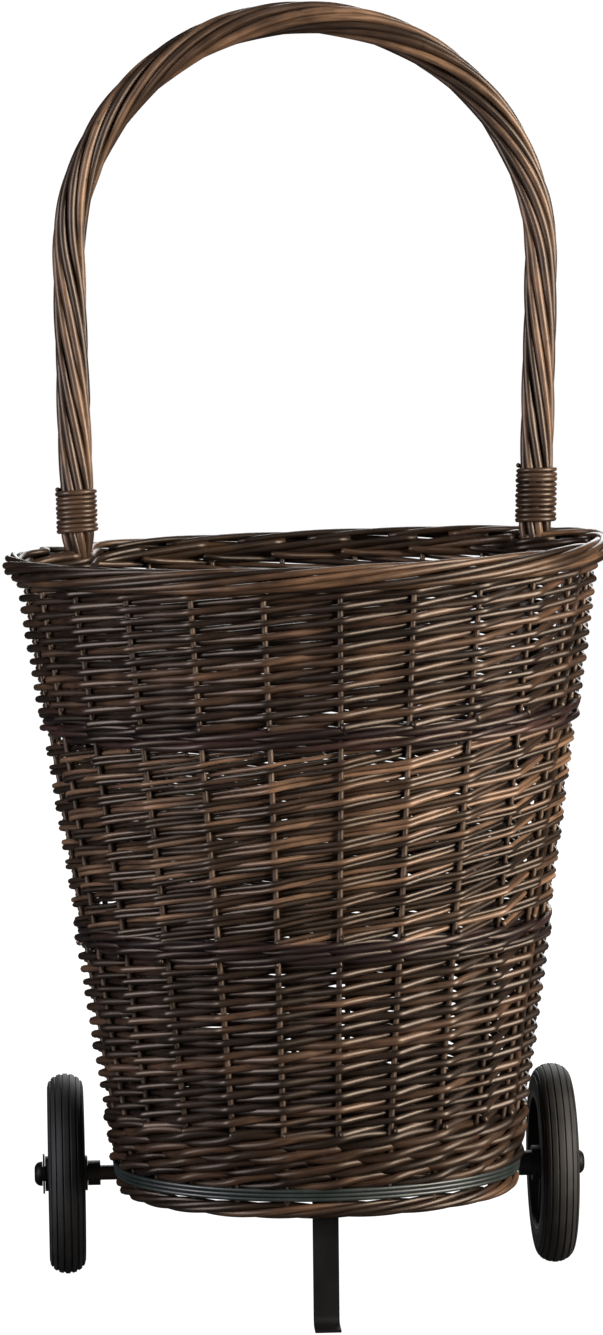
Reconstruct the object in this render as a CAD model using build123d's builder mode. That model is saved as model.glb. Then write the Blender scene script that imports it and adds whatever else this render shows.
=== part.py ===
from build123d import *
import os
from math import asin, atan, cos, degrees, radians, sin, tan

os.makedirs("parts", exist_ok=True)

# A wheeled willow log basket with a roped hoop handle. Millimetres, +Z up, front towards -Y.
# The origin is on the ground, under the middle of the overall box.

# Driving dimensions: overall
overall_height = 1013.0
rim_width = 478.0
rim_front_reach = 262.0        # rim's front edge, ahead of the axle
rim_back_reach = 63.0          # rim's back edge, behind the axle
base_width = 323.0
base_front_reach = 225.0       # base's front edge, ahead of the axle
base_back_reach = 33.0         # base's back edge, behind the axle
rim_top = 592.0                # ground to the top of the rim border

# Driving dimensions: plan shape of the basket, a half oval in front and a fuller one behind
rim_widest_line = 62.0         # where the rim is widest, ahead of the axle
base_widest_line = 105.0
front_fullness = 2.0
back_fullness = 2.5

# Driving dimensions: basket work
stake_count = 24
stake_turn = 3.6               # degrees from the front centre line to the first stake
stake_radius = 3.0
stake_gap = 0.05               # weave to stake
rim_border_height = 22.0
rim_border_width = 22.0
rim_border_rounding = 0.4      # of the border's height
rim_border_flare = 6.0         # border's middle outside the wall's middle line
foot_border_height = 14.5
foot_border_width = 18.0
foot_border_rounding = 0.35    # of the border's height
axle_border_gap = 0.5          # foot border above the axle
wire_radius = 1.65
wire_turns = 3
wire_gap = 0.3                 # wires to stakes
weave_thickness = 15.0
slewing_thickness = 13.4
wale_thickness = 17.0
base_wale_thickness = 19.0
base_wale_height = 41.0
lower_weave_height = 134.0
wale_height = 16.5
middle_weave_height = 148.0
floor_gap = 0.3                # floor to the stakes round it and to the wale above it
short_stick_radius = 4.0
short_stick_count = 8
short_stick_edge_room = 11.0   # between the base's side and the outer sticks' share of the floor
long_stick_radius = 2.0
long_stick_count = 3
long_stick_spacing = 25.0

# Driving dimensions: handle
rope_radius = 13.5
core_radius = 6.0
core_gap = 0.05                # rope to core
handle_side_inset = 58.0       # leg centre inside the rim's outermost side
leg_toe_in = 1.5               # degrees that each leg leans in above the rim
handle_shift = 2.5             # handle's middle to the right of the basket's
handle_tilt = 0.5              # degrees that the handle leans to the right
leg_gap = 1.8                  # core to base wale, the thickest of the wall
rope_border_gap = 0.5          # rope to the top of the rim border
knee_radius = 160.0            # bend of each leg where it enters the basket
core_floor_gap = 4.0
collar_wall = 3.5
collar_gap = 0.05
left_collar_height = 38.0
left_collar_rise = 2.0         # above the rim border
right_collar_height = 48.0
right_collar_rise = 8.0

# Driving dimensions: wheels and axle
wheel_radius = 80.0
tyre_width = 29.0
tyre_seat_radius = 58.0
tyre_crown = 11.0              # fall of the tread from its middle to its edges
tread_groove_count = 8
tread_groove_radius = 1.0
wheel_gap = 13.5               # wall to tyre, at the height of the wheel's top
axle_radius = 6.0
axle_chamfer = 0.8
running_gap = 0.05             # bush to axle
bush_wall = 2.0
hub_length = 34.0
hub_radius = 14.0
hub_rim_wall = 5.0
hub_web = 5.0
hub_rib_count = 6
hub_rib = 4.0
end_play = 0.3
washer_radius = 16.0
washer_thickness = 1.5
cap_radius = 9.75
cap_length = 6.5
cap_wall = 1.5
cap_gap = 0.05                 # cap to axle
cap_rounding = 0.85            # of the cap's length
spacer_radius = 10.0
spacer_length = 10.0

# Driving dimensions: steelwork under the floor
bar_width = 20.0
bar_thickness = 4.0
bar_bend = 4.0                 # inside radius of both bends
bar_border_gap = 1.0           # bar to the front of the foot border
bar_run = 150.0                # under the floor
toe_length = 20.0
bar_bolt_inset = 22.0          # from each end of the run to its bolt
hanger_offset = 55.0           # hangers' outer faces from the centre line
hanger_thickness = 3.0
hanger_flange = 28.0
hanger_depth = 36.0
hanger_clear = 8.0             # flange's back edge, ahead of the axle
hanger_bolt_spacing = 20.0
hanger_eye = 5.5               # steel round the axle hole
bolt_radius = 3.0
bolt_hole_gap = 0.3
bolt_head_radius = 8.0
bolt_head_height = 3.5
bolt_head_rounding = 0.8       # of the head's height
floor_washer_radius = 9.0
floor_washer_thickness = 1.5
nut_width = 10.0
nut_height = 5.0
thread_gap = 0.05              # nut to bolt
thread_end = 2.0               # bolt standing out of its nut

# Places worked out from the driving dimensions
axle_y = (rim_front_reach - wheel_radius) / 2
axle_z = wheel_radius
foot_border_bottom = axle_z + axle_radius + axle_border_gap
floor_bottom = foot_border_bottom + foot_border_height
base_wale_bottom = floor_bottom + 2 * wire_radius * wire_turns
floor_top = base_wale_bottom - floor_gap
floor_thickness = floor_top - floor_bottom
lower_weave_bottom = base_wale_bottom + base_wale_height
lower_wale_bottom = lower_weave_bottom + lower_weave_height
middle_weave_bottom = lower_wale_bottom + wale_height
upper_wale_bottom = middle_weave_bottom + middle_weave_height
upper_weave_bottom = upper_wale_bottom + wale_height
rim_border_bottom = rim_top - rim_border_height
rim_middle = rim_top - rim_border_height / 2
short_stick_spacing = (base_width - 2 * short_stick_edge_room) / short_stick_count


# Plan outline of the basket at any height, set in or out by "grow".
# Half-sizes run straight from the base to the rim, where they are those of the rods' middle line.
def between(at_base, at_rim, height):
    share = (height - floor_bottom) / (rim_middle - floor_bottom)
    return at_base + (at_rim - at_base) * share


def outline_point(angle, height, grow=0.0):
    base_edge = base_wale_thickness / 2
    rim_edge = rim_border_width / 2 + rim_border_flare
    half_width = between(base_width / 2 - base_edge, rim_width / 2 - rim_edge, height) + grow
    widest = between(base_widest_line, rim_widest_line, height)
    front = between(
        base_front_reach - base_widest_line - base_edge,
        rim_front_reach - rim_widest_line - rim_edge,
        height,
    )
    back = between(
        base_back_reach + base_widest_line - base_edge,
        rim_back_reach + rim_widest_line - rim_edge,
        height,
    )
    side = sin(radians(angle))
    if cos(radians(angle)) > 0:
        depth = -(front + grow) * (1 - abs(side) ** front_fullness) ** (1 / front_fullness)
    else:
        depth = (back + grow) * (1 - abs(side) ** back_fullness) ** (1 / back_fullness)
    return Vector(half_width * side, axle_y - widest + depth, height)


def stake_angles():
    return [stake_turn + 360 * i / stake_count for i in range(stake_count)]


def outline_sketch(height, grow):
    with BuildSketch(Plane.XY.offset(height)) as outline:
        with BuildLine(Plane.XY):
            points = [outline_point(angle, height, grow) for angle in stake_angles()]
            Spline([(p.X, p.Y) for p in points], periodic=True)
        make_face()
    return outline.sketch


# A band of basket work: the wall between two heights, with a hole for every stake
def wall_band(label, bottom, height, thickness):
    half = thickness / 2
    with BuildPart() as band:
        loft(sections=[outline_sketch(z, half) for z in (bottom, bottom + height)], ruled=True)
        loft(
            sections=[outline_sketch(z, -half) for z in (bottom, bottom + height)],
            ruled=True,
            mode=Mode.SUBTRACT,
        )
        add(stake_holes.part, mode=Mode.SUBTRACT)
    band.part.label = label
    export_step(band.part, f"parts/{label}.step")


# A rolled border: a ring with rounded edges, whose middle may stand outside the wall's
def border_ring(label, bottom, height, width, rounding_share, flare=0.0):
    middle = bottom + height / 2
    with BuildPart() as ring:
        with BuildSketch(Plane.XY.offset(bottom)):
            with BuildLine():
                points = [outline_point(angle, middle, flare + width / 2) for angle in stake_angles()]
                Spline([(p.X, p.Y) for p in points], periodic=True)
            make_face()
            with BuildLine():
                points = [outline_point(angle, middle, flare - width / 2) for angle in stake_angles()]
                Spline([(p.X, p.Y) for p in points], periodic=True)
            make_face(mode=Mode.SUBTRACT)
        extrude(amount=height)
        fillet(ring.edges().group_by(Axis.Z)[0], height * rounding_share)
        fillet(ring.edges().group_by(Axis.Z)[-1], height * rounding_share)
    ring.part.label = label
    export_step(ring.part, f"parts/{label}.step")


def upright_rods(radius):
    for angle in stake_angles():
        foot = outline_point(angle, floor_bottom)
        tip = outline_point(angle, rim_border_bottom)
        with BuildSketch(Plane(origin=foot, z_dir=tip - foot)) as rod_end:
            Circle(radius)
        extrude(rod_end.sketch, amount=(tip - foot).length)


# Stakes: the upright rods that everything is woven round
with BuildPart() as stake_rods:
    upright_rods(stake_radius)

with BuildPart() as level_cut:
    with BuildSketch(Plane.XY.offset(floor_bottom)):
        Rectangle(2 * rim_width, 4 * rim_front_reach)
    extrude(amount=rim_border_bottom - floor_bottom)

with BuildPart() as stakes:
    add(stake_rods.part)
    add(level_cut.part, mode=Mode.INTERSECT)
stakes.part.label = "stakes"
export_step(stakes.part, "parts/stakes.step")

with BuildPart() as stake_holes:
    upright_rods(stake_radius + stake_gap)

# Woven wall, from the base up
upper_weave_height = rim_border_bottom - upper_weave_bottom
wall_band("base_wale", base_wale_bottom, base_wale_height, base_wale_thickness)
wall_band("lower_weave", lower_weave_bottom, lower_weave_height, weave_thickness)
wall_band("lower_wale", lower_wale_bottom, wale_height, wale_thickness)
wall_band("middle_weave", middle_weave_bottom, middle_weave_height, slewing_thickness)
wall_band("upper_wale", upper_wale_bottom, wale_height, wale_thickness)
wall_band("upper_weave", upper_weave_bottom, upper_weave_height, weave_thickness)

# Rolled borders at the rim and at the foot
border_ring(
    "rim_border", rim_border_bottom, rim_border_height, rim_border_width, rim_border_rounding,
    rim_border_flare,
)
border_ring(
    "foot_border", foot_border_bottom, foot_border_height, foot_border_width, foot_border_rounding
)

# Coated wires that bind the stakes above the foot border
with BuildPart() as base_binding_wires:
    for turn in range(wire_turns):
        wire_z = floor_bottom + wire_radius * (2 * turn + 1)
        wire_grow = stake_radius + wire_gap + wire_radius
        with BuildLine() as wire_path:
            wire_points = [outline_point(angle, wire_z, wire_grow) for angle in stake_angles()]
            Spline(wire_points, periodic=True)
        with BuildSketch(Plane(wire_path.line @ 0, z_dir=wire_path.line % 0)):
            Circle(wire_radius)
        sweep(path=wire_path.line)
base_binding_wires.part.label = "base_binding_wires"
export_step(base_binding_wires.part, "parts/base_binding_wires.step")

# Bolt places through the floor: two for the foot bar, two for each axle hanger
bar_front = outline_point(0, floor_bottom, -foot_border_width / 2).Y + bar_border_gap
bar_bolts = [
    (0, bar_front + bar_bolt_inset),
    (0, bar_front + bar_run - bar_bolt_inset),
]
hanger_mid_y = axle_y - hanger_clear - hanger_depth / 2
hanger_bolt_x = hanger_offset - (hanger_flange + hanger_thickness) / 2
hanger_bolts = [
    (side * hanger_bolt_x, hanger_mid_y + end * hanger_bolt_spacing / 2)
    for side in (-1, 1)
    for end in (-1, 1)
]
bolt_places = bar_bolts + hanger_bolts

# Floor: short sticks front to back, pierced by long sticks, with the weave round both
floor_middle = floor_bottom + floor_thickness / 2
floor_grow = -stake_radius - floor_gap
floor_centre = outline_point(0, floor_middle).Y / 2 + outline_point(180, floor_middle).Y / 2

with BuildPart() as floor_blank:
    add(outline_sketch(floor_bottom, floor_grow))
    extrude(amount=floor_thickness)

with BuildPart() as base_long_sticks:
    with BuildSketch(Plane.YZ.offset(-base_width)):
        with Locations((floor_centre, floor_middle)):
            with GridLocations(long_stick_spacing, 1, long_stick_count, 1):
                Circle(long_stick_radius)
    extrude(amount=2 * base_width)
    add(floor_blank.part, mode=Mode.INTERSECT)
base_long_sticks.part.label = "base_long_sticks"
export_step(base_long_sticks.part, "parts/base_long_sticks.step")

with BuildPart() as base_short_sticks:
    with BuildSketch(Plane.XZ.offset(-2 * base_width)):
        with Locations((0, floor_middle)):
            with GridLocations(short_stick_spacing, 1, short_stick_count, 1):
                Circle(short_stick_radius)
    extrude(amount=4 * base_width)
    add(floor_blank.part, mode=Mode.INTERSECT)
    add(base_long_sticks.part, mode=Mode.SUBTRACT)
base_short_sticks.part.label = "base_short_sticks"
export_step(base_short_sticks.part, "parts/base_short_sticks.step")

with BuildPart() as base_weave:
    add(floor_blank.part)
    add(base_long_sticks.part, mode=Mode.SUBTRACT)
    add(base_short_sticks.part, mode=Mode.SUBTRACT)
    with BuildSketch(Plane.XY.offset(floor_bottom)):
        with Locations(*bolt_places):
            Circle(bolt_radius + bolt_hole_gap)
    extrude(amount=floor_thickness, mode=Mode.SUBTRACT)
base_weave.part.label = "base_weave"
export_step(base_weave.part, "parts/base_weave.step")

# Handle: its core stands just inside the wall and follows it down to the floor.
# The rope round the core ends just above the border.
# "Seats" are where a leg's middle line passes at the rim and at the floor.
leg_inset = base_wale_thickness / 2 + leg_gap + core_radius
leg_x = rim_width / 2 - handle_side_inset
widest_at_rim = outline_point(90, rim_middle, -leg_inset).X
leg_angle = 180 - degrees(asin(leg_x / widest_at_rim))
rim_seat = outline_point(leg_angle, rim_middle, -leg_inset)
floor_seat = outline_point(leg_angle, floor_top, -leg_inset)
seat_drop = rim_middle - floor_top
handle_lean = atan((rim_seat.Y - floor_seat.Y) / seat_drop)
seat_length = seat_drop / cos(handle_lean)
leg_slope = atan((rim_seat.X - floor_seat.X) / seat_length)
toe_in = radians(leg_toe_in)
bow_height = (overall_height - rope_radius - rim_middle) / cos(handle_lean)
bow_radius = (leg_x + bow_height * tan(toe_in)) / (cos(toe_in) + tan(toe_in) * (1 + sin(toe_in)))
tilt = radians(handle_tilt)
bow_plane = Plane(
    origin=(handle_shift, rim_seat.Y, rim_middle),
    x_dir=(cos(tilt), -sin(tilt) * sin(handle_lean), -sin(tilt) * cos(handle_lean)),
    z_dir=(0, -cos(handle_lean), sin(handle_lean)),
)


# Half of the bow's middle line, drawn in its own leaning plane: a leg with a rounded knee at the rim
def leg_points(side, depth):
    low = (side * (leg_x - depth * tan(leg_slope)), -depth)
    knee = (side * leg_x, 0)
    shoulder_height = bow_height - bow_radius - bow_radius * sin(toe_in)
    shoulder = (side * bow_radius * cos(toe_in), shoulder_height)
    return low, knee, shoulder


def bow(depth, radius):
    with BuildLine(bow_plane) as middle_line:
        left = FilletPolyline(*leg_points(-1, depth), radius=knee_radius)
        FilletPolyline(*leg_points(1, depth), radius=knee_radius)
        ThreePointArc(leg_points(-1, depth)[2], (0, bow_height), leg_points(1, depth)[2])
    with BuildSketch(Plane(left @ 0, z_dir=left % 0)) as rope_end:
        Circle(radius)
    sweep(rope_end.sketch, path=middle_line.wire())


core_depth = (seat_drop - core_floor_gap) / cos(handle_lean)

with BuildPart() as handle_core:
    bow(core_depth, core_radius)
handle_core.part.label = "handle_core"
export_step(handle_core.part, "parts/handle_core.step")

with BuildPart() as core_space:
    bow(core_depth, core_radius + core_gap)

with BuildPart() as handle_rope:
    bow(core_depth, rope_radius)
    add(core_space.part, mode=Mode.SUBTRACT)
    split(bisect_by=Plane.XY.offset(rim_top + rope_border_gap), keep=Keep.TOP)
handle_rope.part.label = "handle_rope"
export_step(handle_rope.part, "parts/handle_rope.step")

# Collars that bind each leg just above the rim
collars = [
    ("left_handle_collar", -1, left_collar_rise, left_collar_height),
    ("right_handle_collar", 1, right_collar_rise, right_collar_height),
]
for collar_label, side, rise, height in collars:
    low, knee, shoulder = [bow_plane.from_local_coords(Vector(*p)) for p in leg_points(side, 0)]
    up_leg = (shoulder - knee).normalized()
    # the knee's bend ends below the rim border's top
    collar_start = knee + up_leg * (rim_border_height / 2 + rise)
    with BuildPart() as collar:
        with BuildSketch(Plane(origin=collar_start, z_dir=up_leg)):
            Circle(rope_radius + collar_gap + collar_wall)
            Circle(rope_radius + collar_gap, mode=Mode.SUBTRACT)
        extrude(amount=height)
    collar.part.label = collar_label
    export_step(collar.part, f"parts/{collar_label}.step")

# Foot: one flat bar under the floor, bent down behind the foot border and forwards to a toe
bar_top = floor_bottom
with BuildPart() as foot_bar:
    with BuildSketch(Plane.YZ.offset(-bar_width / 2)):
        with BuildLine():
            bar_line = FilletPolyline(
                (bar_front - toe_length, bar_thickness / 2),
                (bar_front + bar_thickness / 2, bar_thickness / 2),
                (bar_front + bar_thickness / 2, bar_top - bar_thickness / 2),
                (bar_front + bar_run, bar_top - bar_thickness / 2),
                radius=bar_bend + bar_thickness / 2,
            )
            offset(bar_line, amount=bar_thickness / 2, side=Side.LEFT)
            offset(bar_line, amount=bar_thickness / 2, side=Side.RIGHT)
        make_face()
    extrude(amount=bar_width)
    with BuildSketch(Plane.XY.offset(bar_top - bar_thickness)):
        with Locations(*bar_bolts):
            Circle(bolt_radius + bolt_hole_gap)
    extrude(amount=bar_thickness, mode=Mode.SUBTRACT)
foot_bar.part.label = "foot_bar"
export_step(foot_bar.part, "parts/foot_bar.step")

# Axle hangers: angle plates bolted under the floor, with an eye for the axle
with BuildPart() as axle_hangers:
    for side in (-1, 1):
        outer_x = side * hanger_offset
        inner_x = side * (hanger_offset - hanger_thickness)
        with BuildSketch(Plane.YZ.offset(min(outer_x, inner_x))):
            with BuildLine():
                Polyline(
                    (hanger_mid_y - hanger_depth / 2, floor_bottom),
                    (hanger_mid_y + hanger_depth / 2, floor_bottom),
                    (axle_y, axle_z + axle_radius + hanger_eye),
                    (axle_y, axle_z - axle_radius - hanger_eye),
                    (hanger_mid_y - hanger_depth / 2, floor_bottom - 2 * hanger_thickness),
                    close=True,
                )
            make_face()
            with Locations((axle_y, axle_z)):
                Circle(axle_radius + hanger_eye)
                Circle(axle_radius + running_gap, mode=Mode.SUBTRACT)
        extrude(amount=hanger_thickness)
        with BuildSketch(Plane.XY.offset(floor_bottom - hanger_thickness)):
            with Locations((outer_x - side * hanger_flange / 2, hanger_mid_y)):
                Rectangle(hanger_flange, hanger_depth)
        extrude(amount=hanger_thickness)
    with BuildSketch(Plane.XY.offset(floor_bottom - hanger_thickness)):
        with Locations(*hanger_bolts):
            Circle(bolt_radius + bolt_hole_gap)
    extrude(amount=hanger_thickness, mode=Mode.SUBTRACT)
axle_hangers.part.label = "axle_hangers"
export_step(axle_hangers.part, "parts/axle_hangers.step")


# Bolts through the floor: head and washer above it, nut under the steel
def bolt_grip(place):
    steel = bar_thickness if place in bar_bolts else hanger_thickness
    return floor_bottom - steel


with BuildPart() as base_bolts:
    head_bottom = floor_top + floor_washer_thickness
    for place in bolt_places:
        bolt_end = bolt_grip(place) - nut_height - thread_end
        with BuildSketch(Plane.XY.offset(bolt_end)):
            with Locations(place):
                Circle(bolt_radius)
        extrude(amount=head_bottom - bolt_end)
        with BuildSketch(Plane.XY.offset(head_bottom)):
            with Locations(place):
                Circle(bolt_head_radius)
        extrude(amount=bolt_head_height)
    fillet(base_bolts.edges().group_by(Axis.Z)[-1], bolt_head_height * bolt_head_rounding)
base_bolts.part.label = "base_bolts"
export_step(base_bolts.part, "parts/base_bolts.step")

with BuildPart() as base_washers:
    with BuildSketch(Plane.XY.offset(floor_top)):
        with Locations(*bolt_places):
            Circle(floor_washer_radius)
            Circle(bolt_radius + bolt_hole_gap, mode=Mode.SUBTRACT)
    extrude(amount=floor_washer_thickness)
base_washers.part.label = "base_washers"
export_step(base_washers.part, "parts/base_washers.step")

with BuildPart() as base_nuts:
    for place in bolt_places:
        with BuildSketch(Plane.XY.offset(bolt_grip(place) - nut_height)):
            with Locations(place):
                RegularPolygon(nut_width / 2, 6, major_radius=False)
                Circle(bolt_radius + thread_gap, mode=Mode.SUBTRACT)
        extrude(amount=nut_height)
base_nuts.part.label = "base_nuts"
export_step(base_nuts.part, "parts/base_nuts.step")


# Axle and what sits on it; everything here turns about the axle's line
axle_line = Axis((0, axle_y, axle_z), (1, 0, 0))
side_by_wheel = outline_point(90, 2 * wheel_radius, weave_thickness / 2).X
half_track = side_by_wheel + wheel_gap + tyre_width / 2
washer_near = hub_length / 2 + end_play
cap_near = washer_near + washer_thickness + end_play


# A ring about the axle between two distances from the centre plane of the wheel on one side
def axle_ring(side, near, far, inner, outer):
    start = half_track + near if side > 0 else -half_track - far
    with BuildSketch(Plane.YZ.offset(start)) as ring:
        with Locations((axle_y, axle_z)):
            Circle(outer)
            if inner > 0:
                Circle(inner, mode=Mode.SUBTRACT)
    extrude(ring.sketch, amount=far - near)


axle_half = half_track + cap_near + cap_length - 2 * cap_wall
with BuildPart() as axle:
    with BuildSketch(Plane.YZ.offset(-axle_half)):
        with Locations((axle_y, axle_z)):
            Circle(axle_radius)
    extrude(amount=2 * axle_half)
    chamfer(axle.edges(), axle_chamfer)
axle.part.label = "axle"
export_step(axle.part, "parts/axle.step")

spacer_far = -hub_length / 2 - end_play
with BuildPart() as axle_spacers:
    for side in (-1, 1):
        axle_ring(
            side, spacer_far - spacer_length, spacer_far, axle_radius + running_gap, spacer_radius
        )
axle_spacers.part.label = "axle_spacers"
export_step(axle_spacers.part, "parts/axle_spacers.step")

with BuildPart() as axle_washers:
    for side in (-1, 1):
        axle_ring(
            side, washer_near, washer_near + washer_thickness,
            axle_radius + running_gap, washer_radius,
        )
axle_washers.part.label = "axle_washers"
export_step(axle_washers.part, "parts/axle_washers.step")

# Push-on caps: thin domes closed over the axle's ends
with BuildPart() as axle_caps:
    for side in (-1, 1):
        axle_ring(side, cap_near, cap_near + cap_length, 0, cap_radius)
    ends = axle_caps.edges().group_by(Axis.X)
    fillet(ends[0] + ends[-1], cap_length * cap_rounding)
    with BuildSketch(Plane.YZ.offset(-axle_half)):
        with Locations((axle_y, axle_z)):
            Circle(axle_radius + cap_gap)
    extrude(amount=2 * axle_half, mode=Mode.SUBTRACT)
axle_caps.part.label = "axle_caps"
export_step(axle_caps.part, "parts/axle_caps.step")


# One wheel: solid ribbed tyre on a ribbed disc, with a bush that turns on the axle
def wheel(name, side):
    middle_x = side * half_track
    half = tyre_width / 2

    with BuildPart() as tyre:
        with BuildSketch(Plane.XY.offset(axle_z)):
            with BuildLine():
                shoulder_y = axle_y + wheel_radius - tyre_crown
                seat_y = axle_y + tyre_seat_radius
                Line((middle_x - half, seat_y), (middle_x + half, seat_y))
                Line((middle_x + half, seat_y), (middle_x + half, shoulder_y))
                EllipticalCenterArc(
                    (middle_x, shoulder_y), half, tyre_crown, start_angle=0, arc_size=180
                )
                Line((middle_x - half, shoulder_y), (middle_x - half, seat_y))
            make_face()
            for groove in range(tread_groove_count):
                turn = radians(180 * (groove + 0.5) / tread_groove_count)
                place = (middle_x + half * cos(turn), shoulder_y + tyre_crown * sin(turn))
                with Locations(place):
                    Circle(tread_groove_radius, mode=Mode.SUBTRACT)
        revolve(axis=axle_line)
    tyre.part.label = f"{name}_tyre"
    export_step(tyre.part, f"parts/{name}_tyre.step")

    bush_radius = axle_radius + running_gap + bush_wall
    hub_start = middle_x - hub_length / 2
    rim_inner = tyre_seat_radius - hub_rim_wall
    with BuildPart() as hub:
        with BuildSketch(Plane.YZ.offset(middle_x - half)):
            with Locations((axle_y, axle_z)):
                Circle(tyre_seat_radius)
                Circle(rim_inner, mode=Mode.SUBTRACT)
        extrude(amount=tyre_width)
        with BuildSketch(Plane.YZ.offset(middle_x - hub_web / 2)):
            with Locations((axle_y, axle_z)):
                Circle(tyre_seat_radius)
        extrude(amount=hub_web)
        with BuildSketch(Plane.YZ.offset(hub_start)):
            with Locations((axle_y, axle_z)):
                Circle(hub_radius)
        extrude(amount=hub_length)
        rib_width = tyre_width - 2 * hub_rim_wall
        with BuildSketch(Plane.YZ.offset(middle_x - rib_width / 2)):
            with Locations((axle_y, axle_z)):
                with PolarLocations((hub_radius + rim_inner) / 2, hub_rib_count):
                    Rectangle(rim_inner - hub_radius + 2 * hub_rib, hub_rib)
        extrude(amount=rib_width)
        with BuildSketch(Plane.YZ.offset(hub_start)):
            with Locations((axle_y, axle_z)):
                Circle(bush_radius)
        extrude(amount=hub_length, mode=Mode.SUBTRACT)
    hub.part.label = f"{name}_wheel_hub"
    export_step(hub.part, f"parts/{name}_wheel_hub.step")

    with BuildPart() as bush:
        axle_ring(side, -hub_length / 2, hub_length / 2, axle_radius + running_gap, bush_radius)
    bush.part.label = f"{name}_wheel_bush"
    export_step(bush.part, f"parts/{name}_wheel_bush.step")


wheel("left", -1)
wheel("right", 1)
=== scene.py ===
# %% [markdown]
# # A wheeled willow log basket
#
# The object is a tall oval basket of dark, antique-washed willow. It has a roped hoop for a handle, two
# rubber-tyred wheels on an axle under its back edge, and a bent flat bar for a front foot.
# The steel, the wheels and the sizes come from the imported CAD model. Everything woven is made here,
# rod by rod, because basket work is all about how one rod lies over the next.

# %% Load the model
import math
import bpy
import numpy as np
from mathutils import Matrix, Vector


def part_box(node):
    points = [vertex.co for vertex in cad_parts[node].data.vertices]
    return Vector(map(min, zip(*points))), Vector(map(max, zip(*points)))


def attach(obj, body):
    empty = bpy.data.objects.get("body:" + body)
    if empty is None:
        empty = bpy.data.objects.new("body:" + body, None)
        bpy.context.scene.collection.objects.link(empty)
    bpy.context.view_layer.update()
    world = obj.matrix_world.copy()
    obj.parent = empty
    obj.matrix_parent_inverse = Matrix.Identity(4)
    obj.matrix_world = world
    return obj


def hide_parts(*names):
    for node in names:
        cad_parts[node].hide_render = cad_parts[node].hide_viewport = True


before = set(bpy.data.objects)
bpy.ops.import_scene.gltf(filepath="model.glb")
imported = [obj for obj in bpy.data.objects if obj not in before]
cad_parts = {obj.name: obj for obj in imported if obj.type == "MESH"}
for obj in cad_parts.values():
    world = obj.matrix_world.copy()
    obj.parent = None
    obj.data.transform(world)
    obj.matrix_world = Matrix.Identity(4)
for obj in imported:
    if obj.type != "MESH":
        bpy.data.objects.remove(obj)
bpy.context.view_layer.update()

# %% [markdown]
# ## Camera
# A product picture like this is taken from a few metres away with a long lens, a little above the rim,
# so the oval of the rim shows as a thin slice and uprights stay nearly upright. The camera tips down a
# few degrees and is rolled by half a degree, as a hand-set tripod is. Three plain turns, one after the
# other, say that more clearly than one set of Euler angles.

# %% Camera
FRAME_H = 1335


def make_camera(distance, height, turn, pan, pitch, roll, focal):
    """On a circle round the origin; turned by turn + pan, tipped down by pitch, rolled by roll."""
    data = bpy.data.cameras.new("camera")
    camera = bpy.data.objects.new("camera", data)
    bpy.context.collection.objects.link(camera)
    angle = math.radians(turn)
    camera.location = (math.sin(angle) * distance, -math.cos(angle) * distance, height)
    heading = Matrix.Rotation(math.radians(turn + pan), 3, "Z")
    tip = Matrix.Rotation(math.radians(90 - pitch), 3, "X")
    lean = Matrix.Rotation(math.radians(-roll), 3, "Z")
    camera.rotation_euler = (heading @ tip @ lean).to_euler()
    data.sensor_width = 36.0
    data.lens = focal / FRAME_H * data.sensor_width
    data.clip_end = 60.0
    bpy.context.scene.camera = camera
    return camera


camera = make_camera(3.927, 0.9476, -3.3, 0.110, 6.56, 0.634, 5078.7)
print("lens", round(camera.data.lens), "mm")

# %% [markdown]
# ## Studio
# Two tall soft boxes stand one on each side, and none is in front. Satin willow shows itself by
# reflection: a panel of the wall is bright where it mirrors a soft box and nearly black where it mirrors
# the dim room, so side boxes draw every rod. The right one is brighter and warm, the left one weaker and
# cool. A faint one behind keeps the back from going black. The room is dim, but both sky and floor are
# seen as white paper: the Light Path node gives the camera's own rays a white that doesn't light the
# object. The Standard view transform keeps that white clean, where a filmic curve would turn it grey.


# %% Studio
def stage_floor(reach, colour, paper):
    """A flat square on the ground; paper is a white added for the camera's rays only."""
    mesh = bpy.data.meshes.new("floor")
    corners = [(-reach, -reach, 0), (reach, -reach, 0), (reach, reach, 0), (-reach, reach, 0)]
    mesh.from_pydata(corners, [], [(0, 1, 2, 3)])
    floor = bpy.data.objects.new("floor", mesh)
    bpy.context.collection.objects.link(floor)
    material = bpy.data.materials.new("pale_floor")
    material.use_nodes = True
    tree = material.node_tree
    shader = tree.nodes["Principled BSDF"]
    shader.inputs["Base Color"].default_value = colour
    shader.inputs["Roughness"].default_value = 0.85
    shader.inputs["Emission Color"].default_value = (paper, paper, paper, 1)
    path = tree.nodes.new("ShaderNodeLightPath")
    tree.links.new(path.outputs["Is Camera Ray"], shader.inputs["Emission Strength"])
    mesh.materials.append(material)


def soft_box(name, place, aim, size, power, colour):
    """An area light at a place, turned so that it faces the aim point; power in watts."""
    data = bpy.data.lights.new(name, "AREA")
    data.shape = "RECTANGLE"
    data.size, data.size_y = size
    data.energy = power
    data.color = colour
    light = bpy.data.objects.new(name, data)
    bpy.context.collection.objects.link(light)
    light.location = place
    x, y, z = np.array(aim) - np.array(place)
    light.rotation_euler = (math.atan2(math.hypot(x, y), -z), 0, math.atan2(-x, y))


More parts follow.
